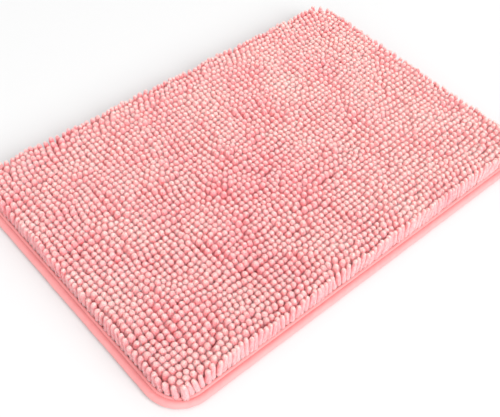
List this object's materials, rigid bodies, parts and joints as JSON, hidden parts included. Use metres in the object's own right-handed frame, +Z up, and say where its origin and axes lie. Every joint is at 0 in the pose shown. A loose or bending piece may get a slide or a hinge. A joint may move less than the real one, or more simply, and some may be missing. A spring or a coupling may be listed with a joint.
{
  "type": "bath mat",
  "caption": "Rectangular chenille bath mat with rounded corners, deep noodle pile, a stitched fabric edge binding and a non-slip backing with raised pads.",
  "frame": {"origin": "on the floor plane under the centre of the mat", "axes": "+X along the long side, +Y across the mat along the short side, +Z up through the pile"},
  "size_m": [0.6096, 0.4064, 0.0316],
  "materials": {
    "pile": "matte",
    "binding": "matte",
    "thread": "satin",
    "base_cloth": "matte",
    "latex": "matte",
    "backing": "matte"
  },
  "bodies": {
    "root": {"pile_row_01": "pile", "pile_row_02": "pile", "pile_row_03": "pile", "pile_row_04": "pile", "pile_row_05": "pile", "pile_row_06": "pile", "pile_row_07": "pile", "pile_row_08": "pile", "pile_row_09": "pile", "pile_row_10": "pile", "pile_row_11": "pile", "pile_row_12": "pile", "pile_row_13": "pile", "pile_row_14": "pile", "pile_row_15": "pile", "pile_row_16": "pile", "pile_row_17": "pile", "pile_row_18": "pile", "pile_row_19": "pile", "pile_row_20": "pile", "pile_row_21": "pile", "pile_row_22": "pile", "pile_row_23": "pile", "pile_row_24": "pile", "pile_row_25": "pile", "pile_row_26": "pile", "pile_row_27": "pile", "pile_row_28": "pile", "pile_row_29": "pile", "pile_row_30": "pile", "pile_row_31": "pile", "pile_row_32": "pile", "pile_row_33": "pile", "pile_row_34": "pile", "pile_row_35": "pile", "pile_row_36": "pile", "pile_row_37": "pile", "pile_row_38": "pile", "pile_row_39": "pile", "pile_row_40": "pile", "pile_row_41": "pile", "pile_row_42": "pile", "pile_row_43": "pile", "pile_row_44": "pile", "pile_row_45": "pile", "pile_row_46": "pile", "pile_row_47": "pile", "pile_row_48": "pile", "pile_row_49": "pile", "edge_binding": "binding", "needle_thread": "thread", "bobbin_thread": "thread", "base_cloth": "base_cloth", "latex_coat": "latex", "nonslip_backing": "backing"}
  },
  "joints": []
}
